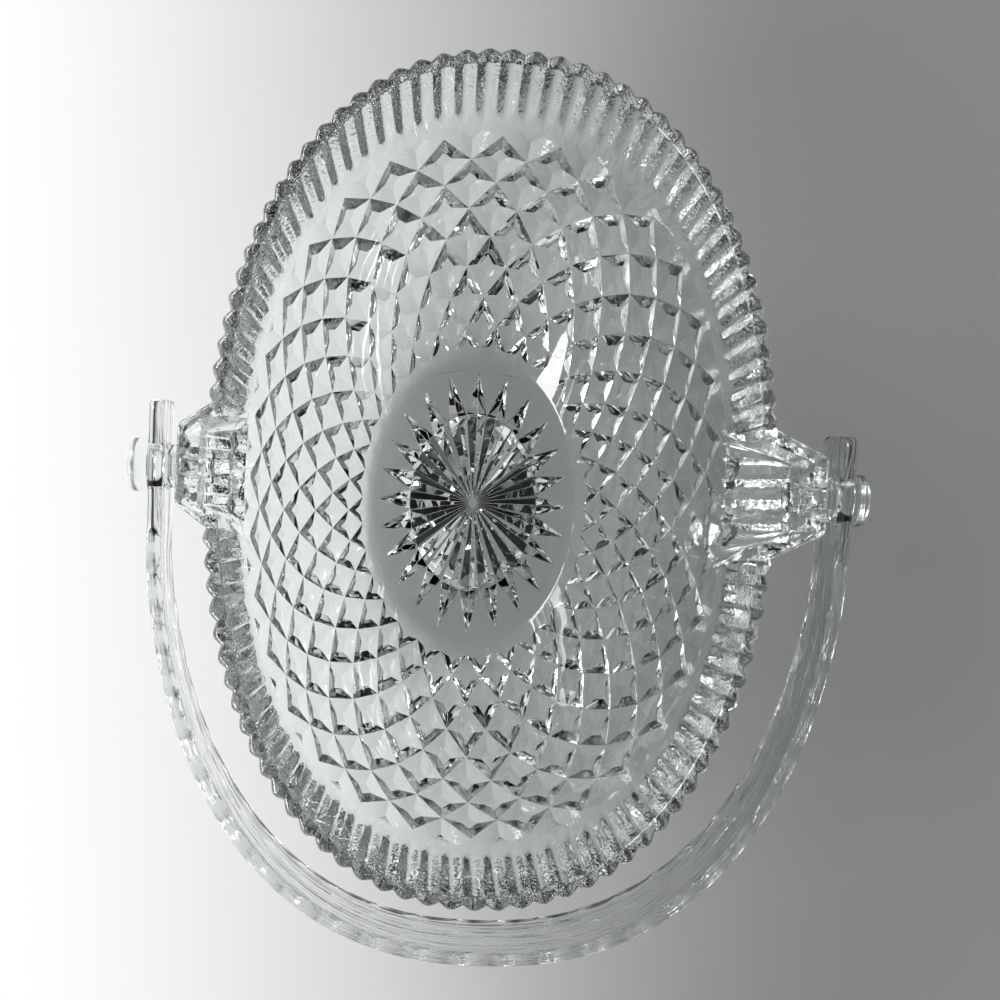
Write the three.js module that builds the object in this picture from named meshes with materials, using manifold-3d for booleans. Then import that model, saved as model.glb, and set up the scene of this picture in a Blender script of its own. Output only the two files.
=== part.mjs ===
// Oval pressed-glass basket with a swinging clear acrylic bail.
// Millimetres, +Z up. The basket stands on z = 0 with the star at the origin.
// X is the axis the bail swings on, Y is the long axis of the bowl.
import * as THREE from 'three';
import { mergeVertices } from 'three/addons/utils/BufferGeometryUtils.js';
import Module from 'manifold-3d';

// Bowl: three ovals, each as half width, half length and squareness.
const BASE_OVAL = { x: 31.4, y: 42.6, power: 2.07 };
const LATTICE_TOP_OVAL = { x: 60.6, y: 88.3, power: 2.2 };
const RIM_OVAL = { x: 66.7, y: 100, power: 2.19 };
const RIM_HEIGHT = 75;
const LATTICE_TOP_HEIGHT = 52.7;
const WALL_ROUNDNESS = 0.7;
const WALL_CURVE = 2.4;

// Inside of the bowl.
const FLOOR_OVAL = { x: 28.8, y: 40.6, power: 2.07 };
const FLOOR_HEIGHT = 7;
const WALL_AT_LATTICE_TOP = 3.6;
const RIM_WIDTH = 4.4;
const INNER_SEGMENTS = 64;
const INNER_STEPS = 9;

// Diamond lattice of truncated pyramids, counted in half diamonds.
const COLUMNS = 32;
const HALF_ROWS = 9;
const ROW_CROWDING = 1.42;
const PYRAMID_RELIEF = 0.48;
const PYRAMID_TOP = 0.32;

// Ribbed band under the rim, three ribs to each diamond.
const RIBS = 3 * COLUMNS;
const RIB_HEIGHT = 1.3;
const RIB_LEDGE = 2.6;
const RIB_POINT_HEIGHT = 53.6;
const RIB_FULL_HEIGHT = 57.6;
const RIM_ROUND = 0.9;

// Star pressed into the base.
const STAR_OVAL = { x: 27.6, y: 38.4, power: 2 };
const STAR_RAYS = 24;
const STAR_DEPTH = 3;
const STAR_WIDEST = 0.66;
const STAR_CENTRE = 0.1;

// Lugs: hollow ears at the middle of the long sides that carry the bail.
const LUG_FACE_LEFT = 72.4;
const LUG_FACE_RIGHT = 78.1;
const LUG_FACE_LENGTH = 18.4;
const LUG_ROOT_LENGTH = 36;
const LUG_ROOT_X = 59.5;
const LUG_UNDERSIDE_OUT = 56.8;
const LUG_UNDERSIDE_IN = 51.4;
const LUG_WALL = 5.2;
const LUG_SIDE_WALL = 3;
const LUG_CORNER = 2.6;
const LUG_CORNER_STEPS = 5;
const LUG_RIBS = 5;
const LUG_RIB_HEIGHT = 1.1;
const LUG_RIB_SHARE = 0.84;
const POCKET_DROP_IN = 56.4;
const POCKET_REACH_IN = 8;
const TRIM_BELOW = 5;
const TRIM_ABOVE = 2;

// Pivots.
const PIVOT_DROP = 8.2;
const SHANK_RADIUS = 2.4;
const SHOULDER_RADIUS = 5.2;
const KNOB_RADIUS = 6.2;
const KNOB_LENGTH = 5;
const KNOB_BEVEL = 0.6;
const KNOB_ROUND = 1.4;
const WASHER_RADIUS = 5;
const WASHER_LENGTH = 2.4;
const CAP_RADIUS = 3.7;
const CAP_LENGTH = 2.2;
const CAP_SOCKET = 1.2;
const CAP_BEVEL = 0.6;
const CLEARANCE = 0.3;

// Bail: a flat strip bent to an arch, wider in the middle, its narrow edges cut with thumbprints.
const STRIP_WIDTH = 17;
const STRIP_MIDDLE_WIDTH = 23.5;
const STRIP_THICKNESS = 3.4;
const ARCH_REACH = 112.7;
const ARCH_POWER = 2.3;
const ARCH_FLARE = 0.7;
const FLARE_START = 7;
const FLARE_END = 27;
const TAIL_LENGTH = 15;
const EDGE_STEPS = 5;
const THUMBPRINTS = 27;
const THUMBPRINT_PITCH = 10.6;
const THUMBPRINT_DEPTH = 1.3;
const THUMBPRINT_NECK = 0.3;
const STEPS_PER_THUMBPRINT = 4;
const BAIL_DROOP_DEG = 6.5;

// Values that follow from the ones above.
const PIVOT_HEIGHT = RIM_HEIGHT - PIVOT_DROP;
const WASHER_START = CLEARANCE;
const STRIP_START = WASHER_START + WASHER_LENGTH + CLEARANCE;
const KNOB_START = STRIP_START + STRIP_THICKNESS + CLEARANCE;
const STRIP_MIDDLE = STRIP_START + STRIP_THICKNESS / 2;
const ARCH_HALF_SPAN = (LUG_FACE_LEFT + LUG_FACE_RIGHT) / 2 + STRIP_MIDDLE;
const ARCH_CENTRE_X = (LUG_FACE_RIGHT - LUG_FACE_LEFT) / 2;
const SHANK_BORE = SHANK_RADIUS + CLEARANCE;

const wasm = await Module();
wasm.setup();

/** A surface put together point by point. */
class Skin {
  constructor() {
    this.points = [];
    this.faces = [];
  }

  add(point) {
    this.points.push(point.x, point.y, point.z);
    return this.points.length / 3 - 1;
  }

  addAll(points) {
    return points.map((point) => this.add(point));
  }

  tri(a, b, c) {
    this.faces.push(a, b, c);
  }

  quad(a, b, c, d) {
    this.tri(a, b, c);
    this.tri(a, c, d);
  }

  /** Joins two closed rings of equal count; the wall faces away from the axis when going up. */
  join(lower, upper) {
    lower.forEach((_, i) => {
      const next = (i + 1) % lower.length;
      this.quad(lower[i], lower[next], upper[next], upper[i]);
    });
  }

  fan(ring, centre) {
    ring.forEach((_, i) => this.tri(ring[i], ring[(i + 1) % ring.length], centre));
  }

  geometry() {
    const result = new THREE.BufferGeometry();
    result.setAttribute('position', new THREE.Float32BufferAttribute(this.points, 3));
    result.setIndex(this.faces);
    return result;
  }
}

function mixOvals(from, to, share) {
  return {
    x: THREE.MathUtils.lerp(from.x, to.x, share),
    y: THREE.MathUtils.lerp(from.y, to.y, share),
    power: THREE.MathUtils.lerp(from.power, to.power, share),
  };
}

function growOval(oval, by) {
  return { x: oval.x + by, y: oval.y + by, power: oval.power };
}

/** Looks up points on an oval by their share of its length, anticlockwise from +X. */
function ovalWalker(oval) {
  const samples = 720;
  const points = [];
  const lengths = [0];
  for (let i = 0; i <= samples; i += 1) {
    const angle = (i / samples) * 2 * Math.PI;
    const c = Math.cos(angle);
    const s = Math.sin(angle);
    const x = oval.x * Math.sign(c) * Math.abs(c) ** (2 / oval.power);
    const y = oval.y * Math.sign(s) * Math.abs(s) ** (2 / oval.power);
    points.push(new THREE.Vector2(x, y));
    if (i > 0) {
      lengths.push(lengths[i - 1] + points[i].distanceTo(points[i - 1]));
    }
  }
  const total = lengths[samples];
  return (share, z) => {
    const wanted = (share - Math.floor(share)) * total;
    let i = 1;
    while (i < samples && lengths[i] < wanted) {
      i += 1;
    }
    const part = (wanted - lengths[i - 1]) / (lengths[i] - lengths[i - 1]);
    const flat = points[i - 1].clone().lerp(points[i], part);
    return new THREE.Vector3(flat.x, flat.y, z);
  };
}

function ovalRing(oval, z, count, turn = 0) {
  const at = ovalWalker(oval);
  return Array.from({ length: count }, (_, i) => at((i + turn) / count, z));
}

/** How far the wall has opened at a share of its height: quickly at first, then steeply up. */
function wallOpening(share) {
  const rounded = 1 - (1 - share) ** WALL_CURVE;
  return THREE.MathUtils.lerp(share, rounded, WALL_ROUNDNESS);
}

function toManifold(geometry) {
  const bare = geometry.clone();
  bare.deleteAttribute('normal');
  bare.deleteAttribute('uv');
  const merged = mergeVertices(bare, 1e-4);
  const index = merged.index.array;
  const kept = [];
  for (let i = 0; i < index.length; i += 3) {
    const [a, b, c] = [index[i], index[i + 1], index[i + 2]];
    if (a !== b && b !== c && c !== a) {
      kept.push(a, b, c);
    }
  }
  return new wasm.Manifold(new wasm.Mesh({
    numProp: 3,
    vertProperties: new Float32Array(merged.attributes.position.array),
    triVerts: new Uint32Array(kept),
  }));
}

function toGeometry(solid) {
  const mesh = solid.getMesh();
  const result = new THREE.BufferGeometry();
  const points = new Float32Array(mesh.vertProperties);
  result.setAttribute('position', new THREE.BufferAttribute(points, 3));
  result.setIndex(new THREE.BufferAttribute(new Uint32Array(mesh.triVerts), 1));
  return result;
}

/** The pressed pattern under the base: a flat edge round a star of V-cut rays. */
function addBase(skin, edge) {
  const rayTips = ovalRing(STAR_OVAL, 0, STAR_RAYS);
  const ridges = ovalRing(STAR_OVAL, 0, STAR_RAYS, 0.5);
  const tips = skin.addAll(rayTips);
  const widest = skin.addAll(ridges.map((p) => p.clone().multiplyScalar(STAR_WIDEST)));
  const valleys = skin.addAll(rayTips.map((p) => {
    const valley = p.clone().multiplyScalar(STAR_WIDEST);
    valley.z = STAR_DEPTH;
    return valley;
  }));
  const rayStarts = skin.addAll(rayTips.map((p) => p.clone().multiplyScalar(STAR_CENTRE)));
  const ridgeStarts = skin.addAll(ridges.map((p) => p.clone().multiplyScalar(STAR_CENTRE)));
  const outline = [];
  const centreRing = [];
  for (let ray = 0; ray < STAR_RAYS; ray += 1) {
    const before = (ray + STAR_RAYS - 1) % STAR_RAYS;
    skin.quad(rayStarts[ray], ridgeStarts[ray], widest[ray], valleys[ray]);
    skin.quad(ridgeStarts[before], rayStarts[ray], valleys[ray], widest[before]);
    skin.tri(valleys[ray], widest[ray], tips[ray]);
    skin.tri(valleys[ray], tips[ray], widest[before]);
    outline.push(tips[ray], widest[ray]);
    centreRing.push(rayStarts[ray], ridgeStarts[ray]);
  }
  skin.fan(centreRing.reverse(), skin.add(new THREE.Vector3(0, 0, 0)));
  const flat = (i) => new THREE.Vector2(skin.points[3 * i], skin.points[3 * i + 1]);
  const hole = outline.slice().reverse();
  const all = edge.concat(hole);
  THREE.ShapeUtils.triangulateShape(edge.map(flat), [hole.map(flat)]).forEach(([a, b, c]) => {
    skin.tri(all[a], all[c], all[b]);
  });
}

/** The corners of a pyramid's flat top, raised in keeping with the size of its cell. */
function pyramidTop(corners, middle, out) {
  const side = corners[1].clone().sub(corners[0]);
  const halfWidth = middle.clone().sub(corners[0]).cross(side).length() / side.length();
  const rise = out.clone().setLength(halfWidth * PYRAMID_RELIEF);
  return corners.map((corner) => middle.clone().lerp(corner, PYRAMID_TOP).add(rise));
}

/** The lattice of truncated pyramids. Returns the ring along its top and the base edge. */
function addLattice(skin) {
  const halves = 2 * COLUMNS;
  const walkers = [];
  const heights = [];
  for (let row = 0; row <= HALF_ROWS; row += 1) {
    const share = (1 - row / HALF_ROWS) ** ROW_CROWDING;
    heights.push(LATTICE_TOP_HEIGHT * share);
    walkers.push(ovalWalker(mixOvals(BASE_OVAL, LATTICE_TOP_OVAL, wallOpening(share))));
  }
  const crossing = (row, column) => walkers[row](column / halves, heights[row]);
  const placed = new Map();
  const crossingIndex = (row, column) => {
    const key = `${row}:${(column + halves) % halves}`;
    if (!placed.has(key)) {
      placed.set(key, skin.add(crossing(row, column)));
    }
    return placed.get(key);
  };
  const topRing = [];
  const baseEdge = [];
  for (let column = 0; column < halves; column += 1) {
    for (let row = 1; row < HALF_ROWS; row += 1) {
      if ((row + column) % 2 === 1) {
        const around = [[row, column - 1], [row + 1, column], [row, column + 1], [row - 1, column]];
        const corners = around.map(([r, c]) => crossing(r, c));
        const low = around.map(([r, c]) => crossingIndex(r, c));
        const middle = new THREE.Vector3();
        corners.forEach((corner) => middle.addScaledVector(corner, 0.25));
        const across = corners[2].clone().sub(corners[0]);
        const out = across.cross(corners[3].clone().sub(corners[1]));
        const high = skin.addAll(pyramidTop(corners, middle, out));
        skin.quad(...high);
        low.forEach((_, i) => {
          const next = (i + 1) % 4;
          skin.quad(low[i], low[next], high[next], high[i]);
        });
      }
    }
    if (column % 2 === 1) {
      const left = crossing(0, column - 1);
      const right = crossing(0, column + 1);
      const below = crossing(1, column);
      const middle = left.clone().lerp(right, 0.5);
      const out = right.clone().sub(left).cross(middle.clone().sub(below));
      const raised = skin.addAll(pyramidTop([left, below, right], middle, out));
      const low = [
        crossingIndex(0, column - 1),
        crossingIndex(1, column),
        crossingIndex(0, column + 1),
      ];
      skin.quad(low[0], low[1], raised[1], raised[0]);
      skin.quad(low[1], low[2], raised[2], raised[1]);
      skin.tri(raised[0], raised[1], raised[2]);
      topRing.push(low[0], raised[0], raised[2]);
      baseEdge.push(crossingIndex(HALF_ROWS, column));
    } else {
      const foot = [column - 1, column + 1].map((c) => crossingIndex(HALF_ROWS, c));
      skin.tri(foot[0], foot[1], crossingIndex(HALF_ROWS - 1, column));
    }
  }
  return { topRing, baseEdge };
}

/** The band of V ribs, each pointed at its foot and rounded over at the rim. */
function addRibbedBand(skin, topRing) {
  const rimValley = growOval(RIM_OVAL, -RIB_HEIGHT);
  const ledge = growOval(LATTICE_TOP_OVAL, RIB_LEDGE);
  const bandOval = (z) => {
    const share = (z - LATTICE_TOP_HEIGHT) / (RIM_HEIGHT - LATTICE_TOP_HEIGHT);
    return mixOvals(ledge, rimValley, share);
  };
  const ribRing = (z, inset) => {
    const valley = ovalWalker(growOval(bandOval(z), -inset));
    const ridge = ovalWalker(growOval(bandOval(z), RIB_HEIGHT - inset));
    const ring = [];
    for (let rib = 0; rib < RIBS; rib += 1) {
      ring.push(ridge(rib / RIBS, z), valley((rib + 0.5) / RIBS, z));
    }
    return skin.addAll(ring);
  };
  const points = skin.addAll(ovalRing(bandOval(RIB_POINT_HEIGHT), RIB_POINT_HEIGHT, RIBS));
  skin.join(topRing, points);
  const foot = ribRing(RIB_FULL_HEIGHT, 0);
  for (let rib = 0; rib < RIBS; rib += 1) {
    const ridge = foot[2 * rib];
    const valley = foot[2 * rib + 1];
    const before = foot[(2 * rib + 2 * RIBS - 1) % (2 * RIBS)];
    skin.tri(points[rib], valley, ridge);
    skin.tri(points[rib], ridge, before);
    skin.tri(points[rib], points[(rib + 1) % RIBS], valley);
  }
  const shoulder = ribRing(RIM_HEIGHT - RIM_ROUND, 0);
  const crown = ribRing(RIM_HEIGHT, RIM_ROUND);
  skin.join(foot, shoulder);
  skin.join(shoulder, crown);
  return crown;
}

/** The smooth inside, from the rim down to the floor. */
function addInside(skin, crown) {
  const rimInner = growOval(RIM_OVAL, -RIM_WIDTH);
  const latticeInner = growOval(LATTICE_TOP_OVAL, -WALL_AT_LATTICE_TOP);
  let upper = skin.addAll(ovalRing(rimInner, RIM_HEIGHT, INNER_SEGMENTS));
  const perSegment = crown.length / INNER_SEGMENTS;
  upper.forEach((here, i) => {
    const next = upper[(i + 1) % INNER_SEGMENTS];
    const outer = (k) => crown[(i * perSegment + k) % crown.length];
    const turn = Math.floor(perSegment / 2);
    for (let k = 0; k < perSegment; k += 1) {
      skin.tri(outer(k), outer(k + 1), k <= turn ? here : next);
    }
    skin.tri(outer(turn + 1), next, here);
  });
  for (let step = 0; step <= INNER_STEPS; step += 1) {
    const share = (1 - step / INNER_STEPS) ** ROW_CROWDING;
    const oval = mixOvals(FLOOR_OVAL, latticeInner, wallOpening(share));
    const z = THREE.MathUtils.lerp(FLOOR_HEIGHT, LATTICE_TOP_HEIGHT, share);
    const lower = skin.addAll(ovalRing(oval, z, INNER_SEGMENTS));
    skin.join(upper, lower);
    upper = lower;
  }
  skin.fan(upper, skin.add(new THREE.Vector3(0, 0, FLOOR_HEIGHT)));
}

/** A closed block between a lower and an upper outline of equal counts, each convex and flat. */
function block(lower, upper) {
  const skin = new Skin();
  const low = skin.addAll(lower);
  const high = skin.addAll(upper);
  for (let i = 2; i < low.length; i += 1) {
    skin.tri(low[0], low[i], low[i - 1]);
    skin.tri(high[0], high[i - 1], high[i]);
  }
  skin.join(low, high);
  return toManifold(skin.geometry());
}

/** Outline of an ear that narrows from its root to a face at +X, with the corners of the face rounded. */
function earOutline(rootX, faceX, rootLength, faceLength, rootZ, faceZ, corner) {
  const lean = Math.atan2((rootLength - faceLength) / 2, faceX - rootX);
  const sweep = Math.PI / 2 - lean;
  const set = corner * Math.tan(sweep / 2);
  const at = (x, y) => {
    const share = (x - rootX) / (faceX - rootX);
    return new THREE.Vector3(x, y, THREE.MathUtils.lerp(rootZ, faceZ, share));
  };
  const near = [at(rootX, -rootLength / 2)];
  for (let i = 0; i <= LUG_CORNER_STEPS; i += 1) {
    const angle = sweep * (1 - i / LUG_CORNER_STEPS);
    const x = faceX - corner * (1 - Math.cos(angle));
    near.push(at(x, -faceLength / 2 + set - corner * Math.sin(angle)));
  }
  return near.concat(near.map((p) => new THREE.Vector3(p.x, -p.y, p.z)).reverse());
}

/** A rib along the sloping underside of a lug. */
function undersideRib(face, y, halfWidth) {
  const rootX = LUG_ROOT_X - 1;
  const endX = face - CLEARANCE;
  const fall = (LUG_UNDERSIDE_OUT - LUG_UNDERSIDE_IN) / (face - LUG_ROOT_X);
  const under = (x) => LUG_UNDERSIDE_IN + fall * (x - LUG_ROOT_X);
  const skin = new Skin();
  const ring = (x, drop) => skin.addAll([
    new THREE.Vector3(x, y + halfWidth, under(x) + 1),
    new THREE.Vector3(x, y - halfWidth, under(x) + 1),
    new THREE.Vector3(x, y, under(x) - drop),
  ]);
  const near = ring(rootX, LUG_RIB_HEIGHT);
  const far = ring(endX, LUG_RIB_HEIGHT);
  skin.tri(near[2], near[1], near[0]);
  skin.tri(far[0], far[1], far[2]);
  for (let i = 0; i < 3; i += 1) {
    const next = (i + 1) % 3;
    skin.quad(near[i], near[next], far[next], far[i]);
  }
  return toManifold(skin.geometry());
}

/** A lug at +X: the solid to add and the pocket and bore to take away. */
function lug(face) {
  const ear = (rootZ, faceZ) => (
    earOutline(LUG_ROOT_X, face, LUG_ROOT_LENGTH, LUG_FACE_LENGTH, rootZ, faceZ, LUG_CORNER));
  const body = block(ear(LUG_UNDERSIDE_IN, LUG_UNDERSIDE_OUT), ear(RIM_HEIGHT, RIM_HEIGHT));
  const reach = LUG_UNDERSIDE_IN - 2 * LUG_RIB_HEIGHT;
  const plan = block(ear(reach, reach), ear(RIM_HEIGHT, RIM_HEIGHT));
  const rimStep = ovalWalker(RIM_OVAL)(1 / RIBS, 0).y;
  let solid = body;
  for (let i = 0; i < LUG_RIBS; i += 1) {
    const y = (i - (LUG_RIBS - 1) / 2) * rimStep;
    solid = solid.add(undersideRib(face, y, (rimStep * LUG_RIB_SHARE) / 2).intersect(plan));
  }
  const innerFace = face - LUG_WALL;
  const pocketRootX = LUG_ROOT_X - POCKET_REACH_IN;
  const taper = (LUG_ROOT_LENGTH - LUG_FACE_LENGTH) / (face - LUG_ROOT_X);
  const sideWalls = 2 * LUG_SIDE_WALL * Math.hypot(1, taper / 2);
  const lengthAt = (x) => LUG_FACE_LENGTH + taper * (face - x) - sideWalls;
  const pocketFaceZ = PIVOT_HEIGHT - CAP_RADIUS - 2 * CLEARANCE;
  const pocketRootLength = lengthAt(LUG_ROOT_X) + LUG_SIDE_WALL;
  const above = RIM_HEIGHT + 1;
  const rounded = LUG_CORNER - LUG_SIDE_WALL / 2;
  const hollow = (rootZ, faceZ) => (
    earOutline(pocketRootX, innerFace, pocketRootLength, lengthAt(innerFace), rootZ, faceZ, rounded));
  const pocket = block(hollow(POCKET_DROP_IN, pocketFaceZ), hollow(above, above));
  const bore = new THREE.CylinderGeometry(SHANK_BORE, SHANK_BORE, 4 * LUG_WALL, 32);
  bore.rotateZ(Math.PI / 2);
  bore.translate(face - LUG_WALL / 2, 0, PIVOT_HEIGHT);
  return { solid, away: pocket.add(toManifold(bore)) };
}

function makeBowl() {
  const skin = new Skin();
  const { topRing, baseEdge } = addLattice(skin);
  addBase(skin, baseEdge);
  addInside(skin, addRibbedBand(skin, topRing));
  const shell = toManifold(skin.geometry());
  const right = lug(LUG_FACE_RIGHT);
  const left = lug(LUG_FACE_LEFT);
  const mirror = [-1, 0, 0, 0, 0, 1, 0, 0, 0, 0, 1, 0, 0, 0, 0, 1];
  const mirrored = { solid: left.solid.transform(mirror), away: left.away.transform(mirror) };
  const hollow = insideSolid();
  let result = shell;
  [right, mirrored].forEach((ear) => {
    result = result.add(ear.solid.subtract(hollow)).subtract(ear.away);
  });
  return toGeometry(result);
}

/** The space inside the bowl, used to trim what stands in from the lugs. */
function insideSolid() {
  const rimInner = growOval(RIM_OVAL, -RIM_WIDTH);
  const latticeInner = growOval(LATTICE_TOP_OVAL, -WALL_AT_LATTICE_TOP);
  const skin = new Skin();
  const low = skin.addAll(ovalRing(latticeInner, LATTICE_TOP_HEIGHT, INNER_SEGMENTS));
  const rise = RIM_HEIGHT - LATTICE_TOP_HEIGHT;
  const above = RIM_HEIGHT + TRIM_ABOVE;
  const below = LATTICE_TOP_HEIGHT - TRIM_BELOW;
  const aboveOval = mixOvals(latticeInner, rimInner, (rise + TRIM_ABOVE) / rise);
  const high = skin.addAll(ovalRing(aboveOval, above, INNER_SEGMENTS));
  const bottom = skin.addAll(ovalRing(latticeInner, below, INNER_SEGMENTS));
  skin.join(bottom, low);
  skin.join(low, high);
  skin.fan(high, skin.add(new THREE.Vector3(0, 0, above)));
  skin.fan(bottom.slice().reverse(), skin.add(new THREE.Vector3(0, 0, below)));
  return toManifold(skin.geometry());
}

/** Middle line of the bail, seen flat: out along one leg, round the arch and back. */
function bailPath() {
  const fine = 1200;
  const points = [new THREE.Vector2(-ARCH_HALF_SPAN, -TAIL_LENGTH)];
  for (let i = 0; i <= fine; i += 1) {
    const angle = (i / fine) * Math.PI;
    const c = Math.cos(angle);
    const y = ARCH_REACH * Math.sin(angle) ** (2 / ARCH_POWER);
    const half = ARCH_HALF_SPAN + ARCH_FLARE * THREE.MathUtils.smoothstep(y, FLARE_START, FLARE_END);
    const x = -half * Math.sign(c) * Math.abs(c) ** (2 / ARCH_POWER);
    points.push(new THREE.Vector2(x, y));
  }
  points.push(new THREE.Vector2(ARCH_HALF_SPAN, -TAIL_LENGTH));
  const lengths = [0];
  for (let i = 1; i < points.length; i += 1) {
    lengths.push(lengths[i - 1] + points[i].distanceTo(points[i - 1]));
  }
  const total = lengths[lengths.length - 1];
  const at = (length) => {
    const wanted = THREE.MathUtils.clamp(length, 0, total);
    let i = 1;
    while (i < points.length - 1 && lengths[i] < wanted) {
      i += 1;
    }
    const part = (wanted - lengths[i - 1]) / (lengths[i] - lengths[i - 1]);
    return points[i - 1].clone().lerp(points[i], part);
  };
  return { total, at };
}

/** How deep the thumbprint cut is at a distance from the middle of the arch. */
function thumbprintDepth(fromMiddle) {
  const cut = (THUMBPRINTS / 2) * THUMBPRINT_PITCH;
  if (Math.abs(fromMiddle) >= cut) {
    return 0;
  }
  const within = (fromMiddle + cut) % THUMBPRINT_PITCH;
  const off = (2 * within) / THUMBPRINT_PITCH - 1;
  const fade = Math.min(1, (3 * (cut - Math.abs(fromMiddle))) / THUMBPRINT_PITCH);
  return THUMBPRINT_NECK * fade + (THUMBPRINT_DEPTH - THUMBPRINT_NECK) * (1 - off * off);
}

/** Half the strip's width at a distance from the middle of the arch. */
function stripHalfWidth(fromMiddle) {
  const off = Math.min(1, Math.abs(fromMiddle) / ((THUMBPRINTS / 2) * THUMBPRINT_PITCH));
  return THREE.MathUtils.lerp(STRIP_WIDTH, STRIP_MIDDLE_WIDTH, Math.cos((off * Math.PI) / 2)) / 2;
}

/** The strip's section at one place, its edges full round and then cut flat by the thumbprint. */
function stripSection(depth, wide) {
  const thick = STRIP_THICKNESS / 2;
  const top = [];
  for (let i = 0; i <= EDGE_STEPS; i += 1) {
    const angle = (i / EDGE_STEPS) * Math.PI;
    const t = thick * Math.cos(angle);
    const w = wide - thick + thick * Math.sin(angle);
    top.push([t, Math.min(w, wide - depth)]);
  }
  return top.concat(top.map(([t, w]) => [-t, -w]));
}

function makeBail() {
  const path = bailPath();
  const skin = new Skin();
  const middle = path.total / 2;
  const cut = (THUMBPRINTS / 2) * THUMBPRINT_PITCH;
  const straight = TAIL_LENGTH + FLARE_START;
  const stations = [0, straight];
  const steps = THUMBPRINTS * STEPS_PER_THUMBPRINT;
  for (let i = 0; i <= steps; i += 1) {
    stations.push(middle - cut + (i / steps) * 2 * cut);
  }
  stations.push(path.total - straight, path.total);
  const rings = stations.map((length) => {
    const here = path.at(length);
    const along = path.at(length + 0.5).sub(path.at(length - 0.5)).normalize();
    const out = new THREE.Vector2(-along.y, along.x);
    const section = stripSection(thumbprintDepth(length - middle), stripHalfWidth(length - middle));
    return skin.addAll(section.map(([t, w]) => (
      new THREE.Vector3(here.x + out.x * t, -(here.y + out.y * t), w))));
  });
  for (let i = 1; i < rings.length; i += 1) {
    skin.join(rings[i], rings[i - 1]);
  }
  const cap = (ring, forward) => {
    const order = forward ? ring : ring.slice().reverse();
    for (let i = 2; i < order.length; i += 1) {
      skin.tri(order[0], order[i - 1], order[i]);
    }
  };
  cap(rings[0], true);
  cap(rings[rings.length - 1], false);
  let solid = toManifold(skin.geometry());
  [-1, 1].forEach((side) => {
    const eyeRadius = SHOULDER_RADIUS + CLEARANCE;
    const eye = new THREE.CylinderGeometry(eyeRadius, eyeRadius, 3 * STRIP_THICKNESS, 40);
    eye.rotateZ(Math.PI / 2);
    eye.translate(side * ARCH_HALF_SPAN, 0, 0);
    solid = solid.subtract(toManifold(eye));
  });
  const result = toGeometry(solid);
  result.rotateX(THREE.MathUtils.degToRad(BAIL_DROOP_DEG));
  result.translate(ARCH_CENTRE_X, 0, PIVOT_HEIGHT);
  return result;
}

/** A turned piece on the pivot axis, drawn as radius and distance out from the lug's face. */
function turned(profile, face, side) {
  const points = profile.map(([radius, out]) => new THREE.Vector2(radius, out));
  const result = new THREE.LatheGeometry(points, 40);
  result.rotateZ(-side * Math.PI / 2);
  result.translate(side * face, 0, PIVOT_HEIGHT);
  return toGeometry(toManifold(result));
}

function makePin(face, side) {
  const inEnd = -LUG_WALL - CLEARANCE - CAP_SOCKET;
  const out = KNOB_START + KNOB_LENGTH;
  return turned([
    [0, inEnd],
    [SHANK_RADIUS, inEnd],
    [SHANK_RADIUS, STRIP_START],
    [SHOULDER_RADIUS, STRIP_START],
    [SHOULDER_RADIUS, KNOB_START],
    [KNOB_RADIUS - KNOB_BEVEL, KNOB_START],
    [KNOB_RADIUS, KNOB_START + KNOB_BEVEL],
    [KNOB_RADIUS, out - KNOB_ROUND],
    [KNOB_RADIUS - 0.3 * KNOB_ROUND, out - 0.3 * KNOB_ROUND],
    [KNOB_RADIUS - KNOB_ROUND, out],
    [0, out],
  ], face, side);
}

function makeWasher(face, side) {
  const end = WASHER_START + WASHER_LENGTH;
  return turned([
    [SHANK_BORE, WASHER_START],
    [WASHER_RADIUS, WASHER_START],
    [WASHER_RADIUS, end],
    [SHANK_BORE, end],
    [SHANK_BORE, WASHER_START],
  ], face, side);
}

function makeCap(face, side) {
  const outer = -LUG_WALL - CLEARANCE;
  const inner = outer - CAP_LENGTH;
  const socket = outer - CAP_SOCKET - CLEARANCE;
  return turned([
    [0, inner],
    [CAP_RADIUS - CAP_BEVEL, inner],
    [CAP_RADIUS, inner + CAP_BEVEL],
    [CAP_RADIUS, outer],
    [SHANK_BORE, outer],
    [SHANK_BORE, socket],
    [0, socket],
  ], face, side);
}

const basket = new THREE.Group();
basket.name = 'glass_basket';

function addPiece(name, geometry, colour, roughness) {
  const material = new THREE.MeshStandardMaterial({ color: colour, roughness, metalness: 0 });
  const mesh = new THREE.Mesh(geometry, material);
  mesh.name = name;
  basket.add(mesh);
}

const GLASS = '#dfe7e6';
const ACRYLIC = '#eceeee';
addPiece('bowl', makeBowl(), GLASS, 0.05);
addPiece('bail_handle', makeBail(), ACRYLIC, 0.08);
[['left', -1, LUG_FACE_LEFT], ['right', 1, LUG_FACE_RIGHT]].forEach(([hand, side, face]) => {
  addPiece(`pivot_pin_${hand}`, makePin(face, side), ACRYLIC, 0.08);
  addPiece(`spacer_washer_${hand}`, makeWasher(face, side), ACRYLIC, 0.1);
  addPiece(`retaining_cap_${hand}`, makeCap(face, side), ACRYLIC, 0.1);
});

export default basket;
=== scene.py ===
"""Oval pressed-glass basket with a clear acrylic swing handle, standing on a pale table by a window."""
import math
import bmesh
import bpy
import numpy as np
from mathutils import Matrix, Vector
from mathutils.geometry import tessellate_polygon


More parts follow.
